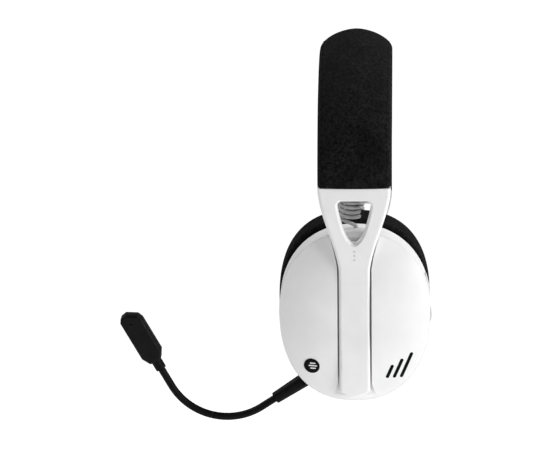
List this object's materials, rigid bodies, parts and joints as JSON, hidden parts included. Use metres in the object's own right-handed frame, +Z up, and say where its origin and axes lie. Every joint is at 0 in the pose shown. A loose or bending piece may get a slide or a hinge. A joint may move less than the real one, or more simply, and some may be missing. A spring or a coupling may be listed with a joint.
{
  "type": "gaming headset",
  "caption": "Over-ear wireless gaming headset with a padded headband, sliding ear cups on Y-shaped arms, a coiled lead at each arm and a plug-in boom microphone.",
  "frame": {"origin": "underside of the headband at its crown, where the wearer's head carries it", "axes": "+X to the wearer's left, where the boom microphone is; -Y forward, in front of the wearer; +Z up"},
  "size_m": [0.1916, 0.1664, 0.2132],
  "materials": {
    "band_fabric": "fine woven black fabric, matt",
    "cushion_fabric": "fine woven black fabric over foam, matt",
    "ear_cloth": "black acoustic mesh",
    "foam": "grey open-cell foam",
    "white_shell": "white moulded plastic, satin",
    "white_ring": "white moulded plastic, satin",
    "black_plastic": "black moulded plastic, fine grain",
    "slide_plastic": "black acetal, smooth",
    "control_grey": "light grey moulded plastic, satin",
    "light_bar": "smoked translucent black",
    "badge_black": "gloss black trim",
    "grey_lead": "soft grey jacket",
    "spring_steel": "cold-rolled spring strip",
    "screw_steel": "blackened steel",
    "driver_steel": "plated steel",
    "diaphragm_film": "thin translucent film",
    "circuit_board": "green solder mask",
    "switch_black": "black moulded plastic",
    "port_steel": "drawn steel shell",
    "port_black": "black moulded plastic",
    "status_lens": "frosted clear lens",
    "plug_metal": "gold-plated",
    "boom_rubber": "black elastomer, matt",
    "mic_shell": "black moulded plastic, fine grain",
    "mic_shell_back": "black moulded plastic, fine grain",
    "capsule_steel": "aluminium can",
    "battery_wrap": "grey foil pouch"
  },
  "bodies": {
    "headband": {"headband_cover": "band_fabric", "headband_foam": "foam", "headband_spring": "spring_steel", "headband_lead": "grey_lead", "left_yoke": "white_shell", "left_yoke_cover": "black_plastic", "left_yoke_screws": "screw_steel", "left_slide_foot": "slide_plastic", "left_coiled_lead": "grey_lead", "right_yoke": "white_shell", "right_yoke_cover": "black_plastic", "right_yoke_screws": "screw_steel", "right_slide_foot": "slide_plastic", "right_coiled_lead": "grey_lead"},
    "left_cup": {"left_slide_guide": "slide_plastic", "left_outer_shell": "white_shell", "left_light_bars": "light_bar", "left_badge": "badge_black", "left_cup_ring": "white_ring", "left_baffle": "black_plastic", "left_housing_screws": "screw_steel", "left_driver_frame": "driver_steel", "left_driver_magnet": "driver_steel", "left_diaphragm": "diaphragm_film", "left_ear_mesh": "ear_cloth", "left_cushion_ring": "black_plastic", "left_cushion_foam": "foam", "left_cushion_cover": "cushion_fabric", "main_board": "circuit_board", "tact_switches": "switch_black", "usb_port": "port_steel", "audio_jack": "port_black", "status_lens": "status_lens", "mic_socket": "port_black"},
    "right_cup": {"right_slide_guide": "slide_plastic", "right_outer_shell": "white_shell", "right_light_bars": "light_bar", "right_badge": "badge_black", "right_cup_ring": "white_ring", "right_baffle": "black_plastic", "right_housing_screws": "screw_steel", "right_driver_frame": "driver_steel", "right_driver_magnet": "driver_steel", "right_diaphragm": "diaphragm_film", "right_ear_mesh": "ear_cloth", "right_cushion_ring": "black_plastic", "right_cushion_foam": "foam", "right_cushion_cover": "cushion_fabric", "battery": "battery_wrap"},
    "volume_wheel": {"volume_wheel": "control_grey"},
    "mute_button": {"mute_button": "control_grey"},
    "mode_button": {"mode_button": "control_grey"},
    "power_button": {"power_button": "control_grey"},
    "boom_base": {"boom_plug": "plug_metal", "boom_sleeve": "boom_rubber"},
    "gooseneck": {"boom_gooseneck": "boom_rubber"},
    "microphone": {"mic_collar": "boom_rubber", "mic_front": "mic_shell", "mic_back": "mic_shell_back", "mic_capsule": "capsule_steel"}
  },
  "joints": [
    {"name": "left_cup_slide", "type": "slide", "parent": "headband", "child": "left_cup", "axis": [-0.2588, 0, -0.9659], "range_m": [0, 0.03], "deforming": ["left_coiled_lead"]},
    {"name": "right_cup_slide", "type": "slide", "parent": "headband", "child": "right_cup", "axis": [0.2588, 0, -0.9659], "range_m": [0, 0.03], "deforming": ["right_coiled_lead"]},
    {"name": "volume_wheel_turn", "type": "hinge", "parent": "left_cup", "child": "volume_wheel", "pos_m": [0.05607, 0.0325, -0.13452], "axis": [0.9659, 0, -0.2588], "continuous": true},
    {"name": "mute_button_press", "type": "slide", "parent": "left_cup", "child": "mute_button", "axis": [-0.0656, -0.9674, -0.2447], "range_m": [0, 0.0006], "stiffness_N_per_m": 1500},
    {"name": "mode_button_press", "type": "slide", "parent": "left_cup", "child": "mode_button", "axis": [0.0975, -0.9264, 0.3638], "range_m": [0, 0.0006], "stiffness_N_per_m": 1500},
    {"name": "power_button_press", "type": "slide", "parent": "left_cup", "child": "power_button", "axis": [0.1761, -0.733, 0.657], "range_m": [0, 0.0006], "stiffness_N_per_m": 1500},
    {"name": "boom_unplug", "type": "slide", "parent": "left_cup", "child": "boom_base", "axis": [-0.1429, -0.8339, -0.5331], "range_m": [0, 0.016]},
    {"name": "boom_swing", "type": "hinge", "parent": "boom_base", "child": "gooseneck", "pos_m": [0.04241, -0.05132, -0.18548], "axis": [0.9659, 0, -0.2588], "range_deg": [-35, 35], "deforming": ["boom_gooseneck"]},
    {"name": "mic_turn_in", "type": "hinge", "parent": "gooseneck", "child": "microphone", "pos_m": [0.04638, -0.10054, -0.17068], "axis": [0.1267, 0.8721, 0.4727], "range_deg": [-40, 40], "deforming": ["boom_gooseneck"]}
  ]
}
